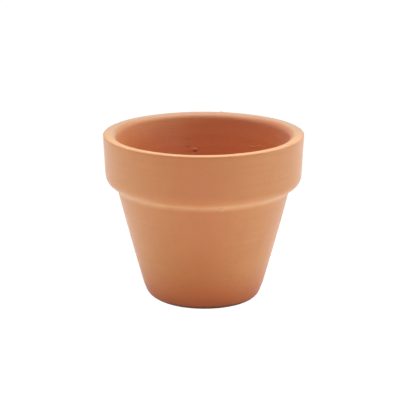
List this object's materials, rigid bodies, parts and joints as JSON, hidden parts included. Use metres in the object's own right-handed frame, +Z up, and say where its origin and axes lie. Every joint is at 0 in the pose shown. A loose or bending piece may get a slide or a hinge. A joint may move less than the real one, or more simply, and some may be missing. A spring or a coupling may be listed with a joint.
{
  "type": "terracotta flowerpot",
  "caption": "Plain round terracotta flowerpot: tapered wall, thick straight rim band with a rounded lower edge, flat foot and a drain hole through the floor.",
  "frame": {"origin": "centre of the foot, on the surface the pot stands on", "axes": "+Z up along the pot's axis, from the foot to the open rim"},
  "size_m": [0.11, 0.11, 0.0923],
  "materials": {
    "terracotta": "matt unglazed fired clay, faint turning lines, pale bloom on the lip"
  },
  "bodies": {
    "root": {"pot": "terracotta"}
  },
  "joints": []
}
